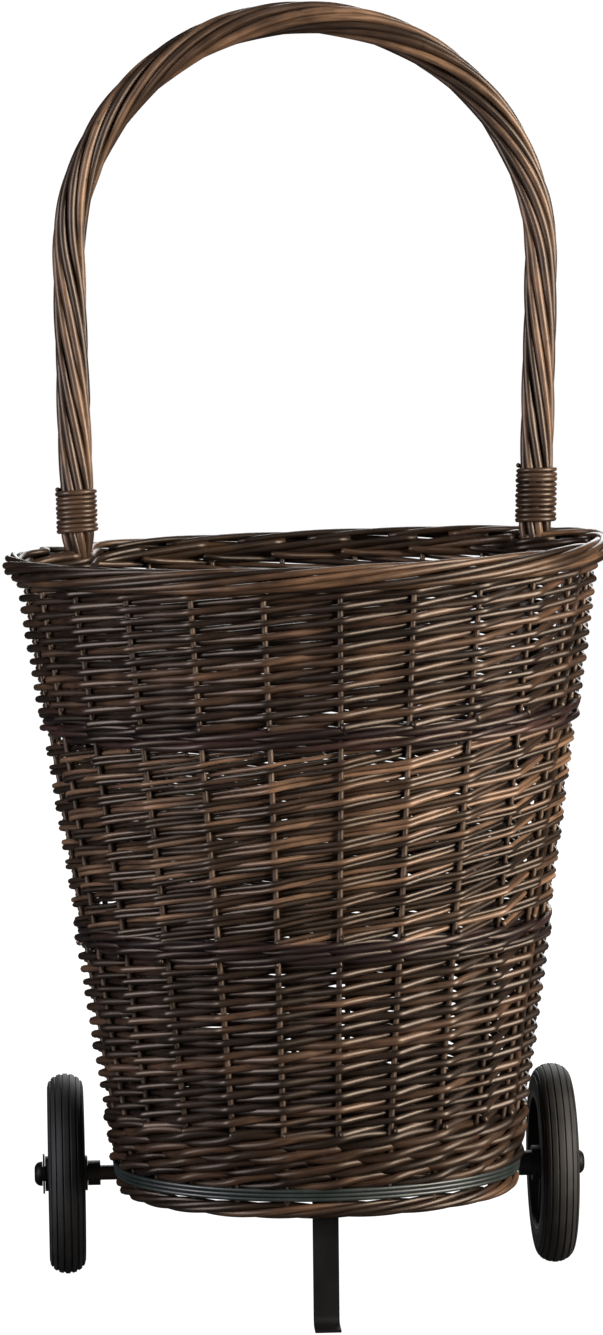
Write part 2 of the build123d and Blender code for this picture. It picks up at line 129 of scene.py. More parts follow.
def paper_sky(fill, seen):
    """A sky that lights with strength fill and looks to the camera like paper of strength seen."""
    world = bpy.data.worlds.new("sky")
    bpy.context.scene.world = world
    world.use_nodes = True
    tree = world.node_tree
    room = tree.nodes["Background"]
    room.inputs["Color"].default_value = (1, 1, 1, 1)
    room.inputs["Strength"].default_value = fill
    paper = tree.nodes.new("ShaderNodeBackground")
    paper.inputs["Color"].default_value = (1, 1, 1, 1)
    paper.inputs["Strength"].default_value = seen
    path = tree.nodes.new("ShaderNodeLightPath")
    pick = tree.nodes.new("ShaderNodeMixShader")
    tree.links.new(path.outputs["Is Camera Ray"], pick.inputs[0])
    tree.links.new(room.outputs[0], pick.inputs[1])
    tree.links.new(paper.outputs[0], pick.inputs[2])
    tree.links.new(pick.outputs[0], tree.nodes["World Output"].inputs["Surface"])


bpy.context.scene.view_settings.view_transform = "Standard"
stage_floor(30.0, (0.05, 0.05, 0.05, 1), 1.0)
paper_sky(0.015, 1.05)
soft_box("right_box", (2.21, -1.39, 1.15), (0, 0, 0.5), (1.7, 2.2), 325, (1.0, 0.91, 0.81))
soft_box("left_box", (-2.4, -1.30, 1.15), (0, 0, 0.5), (1.3, 2.2), 125, (0.95, 0.93, 1.0))
soft_box("back_box", (0.6, 3.2, 1.6), (0, 0, 0.5), (2.0, 2.0), 70, (1, 1, 1))
soft_box("top_box", (0.0, -0.6, 3.2), (0, 0, 0.6), (1.2, 1.2), 6, (1, 1, 1))

# %% [markdown]
# ## Tubes as whole arrays
# A willow rod is a round tube along a curve. Many rods are made at once: the middle lines are one array
# of shape (rods, steps, 3) and the radii one of (rods, steps). Numpy works out every ring of every rod
# together, and `foreach_set` hands the result to the mesh. A skin modifier on a curve could make such
# tubes too, but thousands of bends would take far longer and give no control over each rod's taper.


# %% Tube builder
def unit(vectors):
    return vectors / np.maximum(np.linalg.norm(vectors, axis=-1, keepdims=True), 1e-12)


def rings(lines, radii, sides, up):
    """Points of every ring: line + radius * (cos a * side + sin a * lift).

    side is the tangent crossed with the up direction, and lift is side crossed with the tangent.
    """
    tangent = unit(np.gradient(lines, axis=1))
    side = unit(np.cross(tangent, np.broadcast_to(up, tangent.shape)))
    lift = np.cross(side, tangent)
    angle = 2 * np.pi * np.arange(sides) / sides
    spread = (
        side[:, :, None, :] * np.cos(angle)[None, None, :, None]
        + lift[:, :, None, :] * np.sin(angle)[None, None, :, None]
    )
    return lines[:, :, None, :] + radii[:, :, None, None] * spread


def tube_faces(rods, steps, sides):
    """Corner indices of the side quads of all rods, ring k joined to ring k + 1."""
    rod = np.arange(rods)[:, None, None] * steps * sides
    step = np.arange(steps - 1)[None, :, None] * sides
    here = np.arange(sides)[None, None, :]
    there = (here + 1) % sides
    ring = rod + step
    corners = [ring + here, ring + there, ring + sides + there, ring + sides + here]
    return np.stack(np.broadcast_arrays(*corners), axis=-1).reshape(-1, 4)


def add_tubes(name, lines, radii, sides, up, tone):
    """One object of many closed tubes, with a UV map (metres along, share round) and a rod tone."""
    lines = np.asarray(lines, float)
    radii = np.broadcast_to(radii, lines.shape[:2])
    rods, steps = lines.shape[:2]
    ring = rings(lines, radii, sides, np.asarray(up, float))
    points = ring.reshape(-1, 3)
    quads = tube_faces(rods, steps, sides)
    starts = np.arange(rods)[:, None] * steps * sides + np.arange(sides)[None, :]
    caps = np.concatenate([starts[:, ::-1], starts + (steps - 1) * sides])
    mesh = bpy.data.meshes.new(name)
    mesh.vertices.add(len(points))
    mesh.vertices.foreach_set("co", points.ravel())
    loops = np.concatenate([quads.ravel(), caps.ravel()])
    sizes = np.concatenate([np.full(len(quads), 4), np.full(len(caps), sides)])
    mesh.loops.add(len(loops))
    mesh.loops.foreach_set("vertex_index", loops)
    mesh.polygons.add(len(sizes))
    mesh.polygons.foreach_set("loop_start", np.concatenate([[0], np.cumsum(sizes)[:-1]]))
    mesh.polygons.foreach_set("loop_total", sizes)
    mesh.polygons.foreach_set("use_smooth", np.ones(len(sizes), bool))
    mesh.update(calc_edges=True)
    lay_uv(mesh, lines, sides, caps)
    mark_tone(mesh, rods, steps, sides, tone)
    piece = bpy.data.objects.new(name, mesh)
    bpy.context.collection.objects.link(piece)
    print(name, rods, "rods", len(sizes), "faces")
    return piece


def lay_uv(mesh, lines, sides, caps):
    """U is the length along the rod in metres, offset so that no two rods match; V runs once round it."""
    rods, steps = lines.shape[:2]
    gaps = np.linalg.norm(np.diff(lines, axis=1), axis=2)
    along = np.concatenate([np.zeros((rods, 1)), np.cumsum(gaps, axis=1)], axis=1)
    rod_offset = 3.7
    along = along + rod_offset * np.arange(rods)[:, None]
    here = np.broadcast_to(along[:, :-1, None], (rods, steps - 1, sides))
    there = np.broadcast_to(along[:, 1:, None], (rods, steps - 1, sides))
    low = np.broadcast_to(np.arange(sides) / sides, here.shape)
    high = low + 1 / sides
    u = np.stack([here, here, there, there], axis=-1)
    v = np.stack([low, high, high, low], axis=-1)
    cap_uv = np.zeros((caps.size, 2))
    uv = np.concatenate([np.stack([u, v], axis=-1).reshape(-1, 2), cap_uv])
    layer = mesh.uv_layers.new(name="along_rod")
    layer.data.foreach_set("uv", uv.ravel())


def mark_tone(mesh, rods, steps, sides, tone):
    """A number from 0 to 1 for each rod, on all its points, which the material reads."""
    layer = mesh.attributes.new("tone", "FLOAT", "POINT")
    layer.data.foreach_set("value", np.repeat(tone, steps * sides))


# %% [markdown]
# ## The basket's plan
# The basket is a half oval in front and a fuller one behind, wider at the rim than at the foot. Every
# rod is placed against 24 upright stakes, so the plan is worked out once as the stakes' places at any
# height. Between two stakes a stiff rod runs nearly straight, so the wall is really many flat panels.
# That is why whole panels catch the light together.

# %% Plan of the wall
MM = 0.001
STAKES = 24
FIRST_STAKE = 3.6
STAKE_R = 2.8 * MM
rim_low, rim_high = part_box("rim_border")
foot_low, foot_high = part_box("foot_border")
axle_low, axle_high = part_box("axle")
AXLE_Y = (axle_low[1] + axle_high[1]) / 2
FOOT_Z = foot_high[2]
RIM_Z = (rim_low[2] + rim_high[2]) / 2
RIM_WIDEST = AXLE_Y - 62 * MM
FOOT_WIDEST = AXLE_Y - 105 * MM
RIM_FLARE = 6 * MM
RIM_EDGE = 11 * MM + RIM_FLARE
FOOT_EDGE = 9 * MM
PLAN_AT_RIM = np.array([rim_high[0], RIM_WIDEST - rim_low[1], rim_high[1] - RIM_WIDEST]) - RIM_EDGE
PLAN_AT_FOOT = np.array([foot_high[0], FOOT_WIDEST - foot_low[1], foot_high[1] - FOOT_WIDEST]) - FOOT_EDGE
FRONT_FULLNESS, BACK_FULLNESS = 2.0, 2.5
RIM_TILT = 0.022
PANEL_EASE = 0.035


def plan(angle, height, grow=0.0):
    """Point of the wall's middle line: x = a sin t, y = -+ b (1 - |sin t|^n)^(1/n).

    The half-sizes a and b change evenly from the foot to the rim, and grow adds to them.
    The wall is a little taller on the right: each point rises by RIM_TILT * x * its share of the climb.
    """
    share = (height - FOOT_Z) / (RIM_Z - FOOT_Z)
    half, front, back = [
        PLAN_AT_FOOT[k] + (PLAN_AT_RIM[k] - PLAN_AT_FOOT[k]) * share + grow for k in range(3)
    ]
    middle = FOOT_WIDEST + (RIM_WIDEST - FOOT_WIDEST) * share
    side = np.sin(angle)
    rest = np.clip(1 - np.abs(side) ** FRONT_FULLNESS, 0, 1)
    ahead = -front * rest ** (1 / FRONT_FULLNESS)
    rest = np.clip(1 - np.abs(side) ** BACK_FULLNESS, 0, 1)
    behind = back * rest ** (1 / BACK_FULLNESS)
    depth = np.where(np.cos(angle) > 0, ahead, behind)
    x = half * side
    return np.stack([x, middle + depth, height + RIM_TILT * x * share], axis=-1)


def stake_point(count, height, grow=0.0):
    """Wall point at a stake number, which may lie between two whole numbers of stakes."""
    return plan(np.radians(FIRST_STAKE + 360 * np.asarray(count) / STAKES), height, grow)


def panel_point(place, height, grow):
    """Point on the straight run between the stakes on each side of a place along the wall."""
    before = np.floor(place)
    share = (place - before)[..., None]
    share = share - PANEL_EASE * np.sin(2 * np.pi * share)
    near = stake_point(before, height, grow)
    far = stake_point(before + 1, height, grow)
    return near * (1 - share) + far * share


print("rim half-sizes", PLAN_AT_RIM.round(3), "foot", PLAN_AT_FOOT.round(3))

# %% [markdown]
# ## Stakes
# The 24 uprights are the basket's skeleton. They show as short light dashes wherever the weave lets
# them. A plain cylinder would look like dowel, so each wanders slightly, tapers towards the rim and
# has a small swelling at each bud.

# %% Stakes
rng = np.random.default_rng(24)


def make_stakes():
    """Middle line = wall line + a slow sine sideways; radius falls a tenth, with bud swellings."""
    steps = 60
    foot_depth, rim_depth = 6 * MM, 4 * MM
    heights = np.linspace(foot_low[2] + foot_depth, rim_low[2] + rim_depth, steps)
    number = np.arange(STAKES)[:, None]
    phase = rng.uniform(0, 2 * np.pi, (STAKES, 1))
    wander = 0.012 * np.sin(heights[None, :] * 14 + phase)
    lines = stake_point(number + wander, heights[None, :] + 0 * number)
    climb = np.linspace(0, 1, steps)[None, :]
    buds = np.maximum(0, np.sin(heights[None, :] * 75 + 5 * phase)) ** 30
    radii = 0.85 * STAKE_R * (1.0 - 0.12 * climb + 0.10 * buds)
    return add_tubes("stake_rods", lines, radii, 8, (0, -1, 0.01), rng.uniform(0.45, 1, STAKES))


stakes = make_stakes()
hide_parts("stakes")
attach(stakes, "cart")

# %% [markdown]
# ## Randing: the three woven bands
# The top and bottom bands are French randing. There are as many rods as stakes. Each starts one stake
# further on, goes in front of one stake and behind the next, and rises a little at every stake, so the
# rods lie in step, like stairs. The middle band is slewing, the same thing with two thin rods side by
# side. One formula gives both: rod j has travelled s stakes when it is at stake j + s. Its height is the
# band's bottom plus s rises, and it swings in and out as the wave below.


# %% Woven bands
BAND_MARGIN = 1.5 * MM


def swing(travel):
    """1 in front of even stakes, -1 behind odd ones, and nearly straight in between."""
    sharp = 0.94  # 1 would be a straight zigzag
    return np.arcsin(sharp * np.cos(np.pi * travel)) / np.arcsin(sharp)


def steps_between_stakes(count, stops=(0, 0.06, 0.15, 0.3, 0.5, 0.7, 0.85, 0.94)):
    """Places along the wall, close together near each stake, where a rod bends."""
    whole = np.arange(int(np.ceil(count)))[:, None] + np.array(stops)[None, :]
    return np.append(whole.ravel()[whole.ravel() < count], count)


def weave_band(name, node, rod_r, rise, strands, over, seed):
    """Rods that climb the whole band and run on by "over"; strands lie one above the other.

    Height = bottom + span * share of the climb + the strand's offset + a small wave of the rod's own.
    """
    random = np.random.default_rng(seed)
    low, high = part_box(node)
    span = high[2] - low[2] + over
    travel = steps_between_stakes(span / rise)
    rods = STAKES
    start = np.arange(rods)[:, None]
    place = start + travel[None, :]
    climb = travel[None, :] / travel[-1]
    wave = np.sin(place * 1.9 + random.uniform(0, 6.3, (rods, 1)))
    shift = random.normal(0, 0.07 * rise, (rods, 1)) + 0.10 * rise * wave
    pieces, radii_all, tones = [], [], []
    for strand in range(strands):
        offset = (strand - (strands - 1) / 2) * 2.02 * rod_r
        girth = random.normal(1.0, 0.07, (rods, 1)) + 0.07 * np.sin(place * 0.7 + 6.3 * start / rods)
        radii = rod_r * girth * (1.05 - 0.10 * climb)
        buds = np.maximum(0, np.sin(place * 2.9 + random.uniform(0, 6.3, (rods, 1)))) ** 40
        radii = radii * (1 + 0.12 * buds)
        height = low[2] + span * climb + offset + shift
        height = np.clip(height, low[2] - BAND_MARGIN, high[2] + over + BAND_MARGIN)
        reach = STAKE_R + rod_r * random.normal(0.97, 0.05, (rods, 1))
        pieces.append(panel_point(place, height, swing(travel)[None, :] * reach))
        radii_all.append(radii)
        tones.append(random.uniform(0, 1, rods))
    lines = np.concatenate(pieces)
    return add_tubes(name, lines, np.concatenate(radii_all), 8, (0, 0, 1), np.concatenate(tones))


# name, node, rod radius, rise at each stake, strands, run on at the top, seed
bands = {
    "upper_weave": weave_band("upper_randing", "upper_weave", 2.78 * MM, 5.05 * MM, 1, 4 * MM, 11),
    "middle_weave": weave_band("middle_slewing", "middle_weave", 2.00 * MM, 7.5 * MM, 2, 0, 12),
    "lower_weave": weave_band("lower_randing", "lower_weave", 2.90 * MM, 5.15 * MM, 1, 0, 13),
}
for node, band in bands.items():
    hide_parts(node)
    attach(band, "cart")

# %% [markdown]
# ## Waling: the dark lines and the thick foot
# A wale is worked with three rods at once. Each passes in front of two stakes and behind one, and the
# three take turns, which gives a rope-like line that locks the weave above and below. A strand of a
# wale is a flattened helix about the wall: out and up in front, in and down behind.


# %% Wales
WALE_PROUD = 1.0 * MM


def wale(name, node, rows, rod_r, depth, lift, seed):
    """Strand k of each row: grow = WALE_PROUD + depth * cos(p), height = row + lift * sin(p).

    p advances one turn in three stakes, and the strands are a third of a turn apart. Every row starts
    and ends at the back.
    """
    random = np.random.default_rng(seed)
    low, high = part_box(node)
    count = 3
    travel = np.linspace(0, STAKES, STAKES * 7 + 1)[None, :]
    row = np.repeat(np.arange(rows), count)[:, None]
    strand = np.tile(np.arange(count), rows)[:, None]
    phase = 2 * np.pi * (travel + strand + 1.4 * row) / count
    gap = (high[2] - low[2]) / rows
    level = low[2] + gap * (row + 0.5)
    waver = 0.06 * gap * np.sin(2 * np.pi * travel * 2 / STAKES + random.uniform(0, 6.3, row.shape))
    height = level + lift * np.sin(phase) + waver
    grow = WALE_PROUD + depth * np.cos(phase)
    taper = 1 + 0.08 * np.sin(2 * np.pi * travel / STAKES + random.uniform(0, 6.3, row.shape))
    lines = panel_point(travel + STAKES / 2 + 0 * row, height, grow)
    piece = add_tubes(name, lines, rod_r * taper, 8, (0, 0, 1), random.uniform(0, 1, rows * count))
    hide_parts(node)
    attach(piece, "cart")
    return piece


# name, node, rows, rod radius, depth, lift, seed
wales = [
    wale("upper_waling", "upper_wale", 2, 2.7 * MM, 5.4 * MM, 3.0 * MM, 21),
    wale("lower_waling", "lower_wale", 2, 2.7 * MM, 5.4 * MM, 3.0 * MM, 22),
    wale("base_waling", "base_wale", 4, 3.4 * MM, 6.0 * MM, 4.2 * MM, 23),
]

# %% [markdown]
# ## Where the handle stands
# The handle's core goes down just inside the wall, and the rim border's inner rods are drawn round it.
# Border and handle both need its place, so it is worked out here, from the plan.

# %% Legs of the handle
CORE_R = 6.0 * MM
LEG_X = rim_high[0] - 58 * MM
BASE_WALE_THICK = 19 * MM
LEG_GAP = 1.8 * MM
LEG_INSET = BASE_WALE_THICK / 2 + LEG_GAP + CORE_R
LEG_ANGLE = math.pi - math.asin(LEG_X / (PLAN_AT_RIM[0] - LEG_INSET))
RIGHT_LEG = (math.degrees(LEG_ANGLE) - FIRST_STAKE) * STAKES / 360
LEFT_LEG = (360 - math.degrees(LEG_ANGLE) - FIRST_STAKE) * STAKES / 360


def round_the_legs(place, grow, flare, rod_r):
    """Extra grow for a rod on the border's inner side: a bell curve in place, centred on each leg."""
    inner_edge, blend, bell_width = 2.0 * MM, 1.2 * MM, 0.75
    inner = 0.5 - 0.5 * np.tanh((grow - flare - inner_edge) / blend)
    bell = sum(
        np.exp(-(((place - leg + STAKES / 2) % STAKES - STAKES / 2) / bell_width) ** 2)
        for leg in (LEFT_LEG, RIGHT_LEG)
    )
    return -inner * bell * (LEG_INSET + CORE_R + rod_r + grow)


print("legs at stakes", round(LEFT_LEG, 2), round(RIGHT_LEG, 2))

# %% [markdown]
# ## Rolled borders
# At the rim every stake is bent over and rolled round its neighbours, so the border is a rope whose
# rods keep starting and ending. Each rod starts on the inside under the border, comes up, over and down
# the outside across seven stakes, and is tucked away. Seven rods side by side fill the rope at any place.
# The stakes lean out as they are bent, so the rope's middle stands a little outside the wall's.


# %% Borders
def rolled_border(name, node, rod_r, core_r, flatten, reach, turn, start, flare, legs, seed):
    """Rod j at travel s: rope angle = start + turn * s / reach; ends sink towards the rope's middle.

    core_r is the rope's radius at the rods' middle lines, and flatten is its height over its width.
    """
    random = np.random.default_rng(seed)
    low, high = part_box(node)
    middle = (low[2] + high[2]) / 2
    number = np.arange(STAKES)[:, None]
    share = np.linspace(0, 1, 46)[None, :]
    place = number + reach * share + random.normal(0, 0.06, number.shape)
    angle = np.radians(start + turn * share) + random.normal(0, 0.07, number.shape)
    sunk = 1 - 0.55 * (np.exp(-share / 0.05) + np.exp(-(1 - share) / 0.07))
    out = core_r * sunk * (1 + random.normal(0, 0.03, number.shape))
    grow = flare + out * np.cos(angle)
    if legs:
        grow = grow + round_the_legs(place, grow, flare, rod_r)
    height = middle + flatten * out * np.sin(angle)
    tilt = np.radians(FIRST_STAKE + 360 * place / STAKES)
    lines = plan(tilt, height, grow)
    radii = rod_r * (1.06 - 0.30 * share) * random.normal(1, 0.05, number.shape)
    tone = random.uniform(0, 1, STAKES)
    piece = add_tubes(name, lines, radii, 8, (0, 0, 1), tone)
    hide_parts(node)
    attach(piece, "cart")
    return piece


ROLL_TURN, ROLL_START = 330, -200
borders = [
    rolled_border(
        "rim_rolled_border", "rim_border", 3.15 * MM, 7.7 * MM, 0.98, 7.6,
        ROLL_TURN, ROLL_START, RIM_FLARE, True, 31,
    ),
    rolled_border(
        "foot_rolled_border", "foot_border", 3.1 * MM, 5.6 * MM, 0.74, 4.6,
        ROLL_TURN, ROLL_START, 0, False, 32,
    ),
]

# %% [markdown]
# ## The roped handle
# The hoop is a thick bow with willow rods twisted round it. Each rod is a helix about the bow's middle
# line. The line is two straight legs joined by a half circle, all in one plane that leans back a little.
# A hand-bent hoop is never quite true, so the bow also leans half a degree to the right in its plane and
# stands a little right of the middle. Its sizes come from the CAD rope. With nine rods and one turn in
# 360 mm, the rods lie at about ten degrees, with narrow dark gaps between them. At both ends they gather
# in round the core, which goes on down inside the wall.

# %% Bow line
rope_low, rope_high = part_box("handle_rope")
core_low, core_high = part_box("handle_core")
ROPE_R = (rope_high[0] - rope_low[0]) / 2 - (core_high[0] - core_low[0]) / 2 + CORE_R
BOW_R = (rope_high[0] - rope_low[0]) / 2 - ROPE_R
BOW_TOP = rope_high[2] - ROPE_R
LEG_TOE_IN = math.radians(1.5)
BOW_TILT = math.radians(0.5)
BOW_SHIFT = 2.5 * MM
FLOOR_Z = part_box("base_weave")[1][2]
rim_seat = plan(np.array(LEG_ANGLE), RIM_Z, -LEG_INSET)
floor_seat = plan(np.array(LEG_ANGLE), FLOOR_Z, -LEG_INSET)
LEAN = math.atan((rim_seat[1] - floor_seat[1]) / (RIM_Z - FLOOR_Z))
LEG_SLOPE = math.atan((rim_seat[0] - floor_seat[0]) / (RIM_Z - FLOOR_Z) * math.cos(LEAN))
ROPE_DEPTH = 8 * MM
KNEE_R = 160 * MM


def bow_line(step):
    """Even points along the bow from the left leg's end to the right one's, and their directions.

    The direction turns from the leg below the rim to the leg above it round the knee, stays, turns by
    half a circle and the two toe-ins round the arch, and then repeats the other way. Its sum is the line.
    """
    bow_height = (BOW_TOP - RIM_Z) / math.cos(LEAN)
    knee_reach = KNEE_R * math.tan((LEG_SLOPE - LEG_TOE_IN) / 2)
    low_leg = ROPE_DEPTH / math.cos(LEG_SLOPE) - knee_reach
    knee = KNEE_R * (LEG_SLOPE - LEG_TOE_IN)
    arch_height = bow_height - BOW_R - BOW_R * math.sin(LEG_TOE_IN)
    leg = arch_height / math.cos(LEG_TOE_IN) - knee_reach
    arch = BOW_R * (math.pi + 2 * LEG_TOE_IN)
    ends = np.cumsum([low_leg, knee, leg, arch, leg, knee, low_leg])
    length = ends[-1]
    along = np.linspace(0, length, int(length / step) + 1)
    lean_out = math.pi / 2 + LEG_SLOPE
    lean_leg = math.pi / 2 + LEG_TOE_IN
    knots = np.concatenate([[0], ends])
    heading = np.interp(along, knots, [
        lean_out, lean_out, lean_leg, lean_leg, -lean_leg, -lean_leg, -lean_out, -lean_out
    ])
    flat = np.stack([np.cos(heading), np.sin(heading)], axis=-1)
    middle = (flat[1:] + flat[:-1]) / 2 * np.diff(along)[:, None]
    line = np.concatenate([[[0, 0]], np.cumsum(middle, axis=0)])
    line = line - [(line[0, 0] + line[-1, 0]) / 2, line[:, 1].max() - bow_height]
    return along, line, flat


def bow_space(flat):
    """From the bow's own plane to the object: a tilt to the right, and then the plane leans back."""
    x, up = flat[..., 0], flat[..., 1]
    across = x * math.cos(BOW_TILT) + up * math.sin(BOW_TILT)
    rise = up * math.cos(BOW_TILT) - x * math.sin(BOW_TILT)
    return np.stack([across, rise * math.sin(LEAN), rise * math.cos(LEAN)], axis=-1)


along, bow_flat, bow_way = bow_line(4 * MM)
BOW_SEAT = np.array([BOW_SHIFT, rim_seat[1], RIM_Z])
bow_points = bow_space(bow_flat) + BOW_SEAT
bow_out = bow_space(np.stack([-bow_way[:, 1], bow_way[:, 0]], axis=-1))
bow_side = np.array([0, -math.cos(LEAN), math.sin(LEAN)])
print("bow", round(along[-1], 3), "m, lean", round(math.degrees(LEAN), 1), "degrees")


# %% Handle rods
def twisted_rods(count, rod_r, lay_r, pitch):
    """Rod k: middle line + lay_r (out * cos a + side * sin a), a = 2 pi (k / count - along / pitch)."""
    random = np.random.default_rng(41)
    number = np.arange(count)[:, None]
    uneven = 0.07 * np.sin(along[None, :] * 9 + random.uniform(0, 6.3, (count, 1)))
    angle = 2 * np.pi * (-along[None, :] / pitch + (number + random.normal(0, 0.05, (count, 1))) / count)
    angle = angle + uneven
    lump = random.normal(0, 0.15 * MM, (count, 1)) + 0.35 * MM * np.sin(
        along[None, :] * 21 + random.uniform(0, 6.3, (count, 1))
    )
    from_end = np.minimum(along, along[-1] - along)[None, :]
    gather_length, gathered = 24 * MM, 0.50
    gather = np.clip(from_end / gather_length, 0, 1)
    reach = (lay_r + lump) * (gathered + (1 - gathered) * np.sin(gather * np.pi / 2))
    lines = (
        bow_points[None]
        + reach[..., None] * np.cos(angle)[..., None] * bow_out[None]
        + reach[..., None] * np.sin(angle)[..., None] * bow_side
    )
    buds = np.maximum(0, np.sin(along[None, :] * 19 + random.uniform(0, 6.3, (count, 1)))) ** 60
    girth = random.normal(1, 0.05, (count, 1)) + 0.05 * np.sin(along[None, :] * 3 + number)
    radii = rod_r * (girth + 0.13 * buds)
    return add_tubes("handle_rods", lines, radii, 10, (0, -1, 0.02), random.uniform(0, 1, count))


handle_rods = twisted_rods(9, 3.35 * MM, 9.8 * MM, 360 * MM)
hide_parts("handle_rope")
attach(handle_rods, "cart")

# %% [markdown]
# ## Collars
# Each leg is bound to the rim with a close coil of thin willow. A torus array could stand for it, but
# one continuous helix is what the binder really makes, and its slope and loose end give it away.


# %% Collars
def collar(name, node, side, turns, rod_r, seed):
    """A helix about a leg, with its turns pressed in along one line where the end is threaded down."""
    random = np.random.default_rng(seed)
    seat = BOW_SEAT + bow_space(np.array([side * LEG_X, 0]))
    up_leg = unit(bow_space(np.array([side * math.sin(LEG_TOE_IN), math.cos(LEG_TOE_IN)])))
    low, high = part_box(node)
    end_room = 1.5 * MM
    tall = (high[2] - low[2]) - 2 * end_room
    base = (low[2] + end_room - seat[2]) / up_leg[2]
    turn = np.linspace(0, turns, turns * 26)
    angle = 2 * np.pi * turn
    out = unit(np.cross(up_leg, [0, 1, 0]))
    front = np.cross(out, up_leg)
    front = front * (-1 if front[1] > 0 else 1)
    crease = np.exp(-((np.cos(angle - np.pi / 2) - 1) ** 2) / 0.006)
    lay = ROPE_R + rod_r * 0.55 - 0.7 * MM * crease + 0.12 * MM * np.sin(turn * 4.1)
    climb = base + rod_r + (tall - 2 * rod_r) * turn / turns + 0.25 * MM * np.sin(turn * 2.3 + 1)
    line = (
        seat + up_leg * climb[:, None] + out * (lay * np.cos(angle))[:, None]
        + front * (lay * np.sin(angle))[:, None]
    )
    radii = rod_r * (1 + 0.08 * np.sin(turn * 1.7))
    piece = add_tubes(name, line[None], radii[None], 8, up_leg, random.uniform(0.3, 0.8, 1))
    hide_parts(node)
    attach(piece, "cart")
    return piece


collars = [
    collar("left_collar_binding", "left_handle_collar", -1, 9, 1.95 * MM, 51),
    collar("right_collar_binding", "right_handle_collar", 1, 11, 1.95 * MM, 52),
]

# %% [markdown]
# ## The floor
# The floor is woven flat round short sticks, which long sticks pierce. It is seen from above, through
# the rim. Each row is one thin rod that goes over and under the short sticks, a sine wave in height,
# with every other row half a wave on, and it ends at the oval of the wall.


# %% Floor
STICK_GAP = 37.6 * MM
FLOOR_INSET = 4.5 * MM


def floor_rows(rod_r, spacing):
    """Row lines: x even across the oval, z = middle +- swing * cos(pi (x / stick gap - 1/2))."""
    random = np.random.default_rng(61)
    low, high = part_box("base_weave")
    middle = (low[2] + high[2]) / 2
    end_room, weave_swing = 3 * MM, 3.4 * MM
    front, back = low[1] + end_room, high[1] - end_room
    rows = int((back - front) / spacing)
    y = np.linspace(front, back, rows)[:, None]
    angles = np.linspace(0, 2 * np.pi, 721)
    edge = plan(angles, middle, -FLOOR_INSET)
    right = edge[(angles < np.pi)]
    half = np.interp(y, right[:, 1], right[:, 0])
    x = half * np.linspace(-1, 1, 90)[None, :]
    swap = np.where(np.arange(rows) % 2 == 0, 1, -1)[:, None]
    height = middle + weave_swing * swap * np.cos(np.pi * (x / STICK_GAP - 0.5))
    lines = np.stack([x, y + 0.3 * MM * np.sin(x * 60 + y * 900), height], axis=-1)
    radii = rod_r * random.normal(1, 0.05, (rows, 1))
    return add_tubes("floor_rows", lines, radii + 0 * x, 6, (0, 0, 1), random.uniform(0, 1, rows))


def floor_sticks():
    """Short sticks run front to back, each as long as the oval allows; the long ones, side to side, are the
    CAD model's own.
    """
    low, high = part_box("base_weave")
    middle = (low[2] + high[2]) / 2
    angles = np.linspace(0, 2 * np.pi, 721)
    edge = plan(angles, middle, -FLOOR_INSET)
    ahead, behind = edge[np.cos(angles) > 0], edge[np.cos(angles) <= 0]
    ahead = ahead[np.argsort(ahead[:, 0])]
    behind = behind[np.argsort(behind[:, 0])]
    x = (np.arange(8) - 3.5) * STICK_GAP
    front = np.interp(x, ahead[:, 0], ahead[:, 1])
    back = np.interp(x, behind[:, 0], behind[:, 1])
    share = np.linspace(0, 1, 24)[None, :]
    y = front[:, None] + (back - front)[:, None] * share
    short = np.stack([x[:, None] + 0 * y, y, middle + 0 * y], axis=-1)
    return add_tubes("floor_short_sticks", short, 2.6 * MM, 8, (1, 0, 0), np.linspace(0.3, 0.9, 8))


floor = floor_rows(1.85 * MM, 3.5 * MM)
sticks = floor_sticks()
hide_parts("base_weave")
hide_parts("base_short_sticks")
for piece in (floor, sticks):
    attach(piece, "cart")

# %% [markdown]
# ## Willow finish
# Antique-washed willow is stained almost black in its hollows and rubbed back to brown and tan on its
# crowns. Each rod has its own tone, long fine streaks along its bark, slow patches of darker stain and
# a few buds. The streaks follow the rod, so they read the rod's own UV map, where U is in metres; the
# patches read object coordinates, so that they run across neighbouring rods. The wax is satin, so a panel
# lights up only when it mirrors a soft box.


# %% Node helpers
def new_material(name):
    material = bpy.data.materials.new(name)
    material.use_nodes = True
    tree = material.node_tree
    return material, tree, tree.nodes["Principled BSDF"]


def node(tree, kind, **values):
    made = tree.nodes.new(kind)
    for key, value in values.items():
        if key in made.inputs:
            made.inputs[key].default_value = value
        else:
            setattr(made, key, value)
    return made


def ramp(tree, source, stops):
    made = tree.nodes.new("ShaderNodeValToRGB")
    bar = made.color_ramp
    for index, (place, colour) in enumerate(stops):
        stop = bar.elements[index] if index < 2 else bar.elements.new(place)
        stop.position = place
        stop.color = (*colour, 1)
    tree.links.new(source, made.inputs["Fac"])
    return made.outputs["Color"]


def mix(tree, kind, share, first, second):
    made = node(tree, "ShaderNodeMix", data_type="RGBA", blend_type=kind)
    for socket, value in zip((0, 6, 7), (share, first, second)):
        if isinstance(value, bpy.types.NodeSocket):
            tree.links.new(value, made.inputs[socket])
        else:
            made.inputs[socket].default_value = value
    return made.outputs[2]


def stretched_noise(tree, source, stretch, detail):
    """Noise read through a Mapping node, so that it is longer one way than another."""
    place = node(tree, "ShaderNodeMapping")
    place.inputs["Scale"].default_value = stretch
    tree.links.new(source, place.inputs["Vector"])
    made = node(tree, "ShaderNodeTexNoise", Detail=detail)
    made.inputs["Scale"].default_value = 1.0
    tree.links.new(place.outputs["Vector"], made.inputs["Vector"])
    return made.outputs["Fac"]


